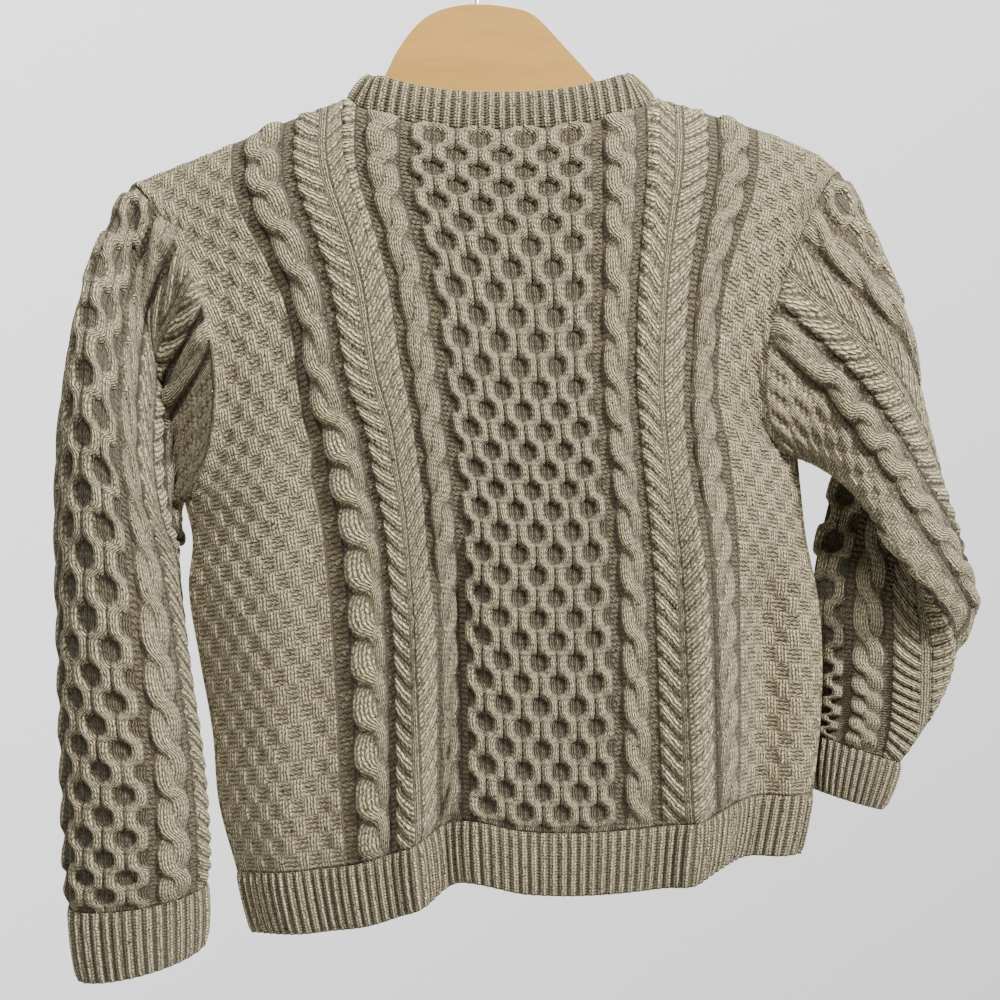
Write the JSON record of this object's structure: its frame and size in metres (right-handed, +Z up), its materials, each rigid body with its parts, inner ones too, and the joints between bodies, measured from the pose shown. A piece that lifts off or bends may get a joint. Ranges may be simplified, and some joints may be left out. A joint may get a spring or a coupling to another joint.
{
  "type": "cable knit sweater on a hanger",
  "caption": "Crew neck cable knit pullover with ribbed neck, cuffs and hem, hanging on a flat plywood hanger with a wire hook.",
  "frame": {"origin": "the point under the hook's bow where it bears on the rail", "axes": "+Z up; -Y the side of the sweater with the back, which faces the picture's camera; +X to the right in the picture"},
  "size_m": [0.7313, 0.1201, 0.8477],
  "materials": {
    "knit": "thick oatmeal tweed wool, cabled and ribbed, matte with a slight fuzz",
    "plywood": "pale plywood, thin satin lacquer, plies on the edge",
    "wire": "dull grey steel wire"
  },
  "bodies": {
    "root": {"back_panel": "knit", "front_panel": "knit", "back_welt": "knit", "front_welt": "knit", "sleeve_left": "knit", "sleeve_right": "knit", "cuff_left": "knit", "cuff_right": "knit", "neckband": "knit", "hanger_board": "plywood", "hanger_hook": "wire"}
  },
  "joints": []
}
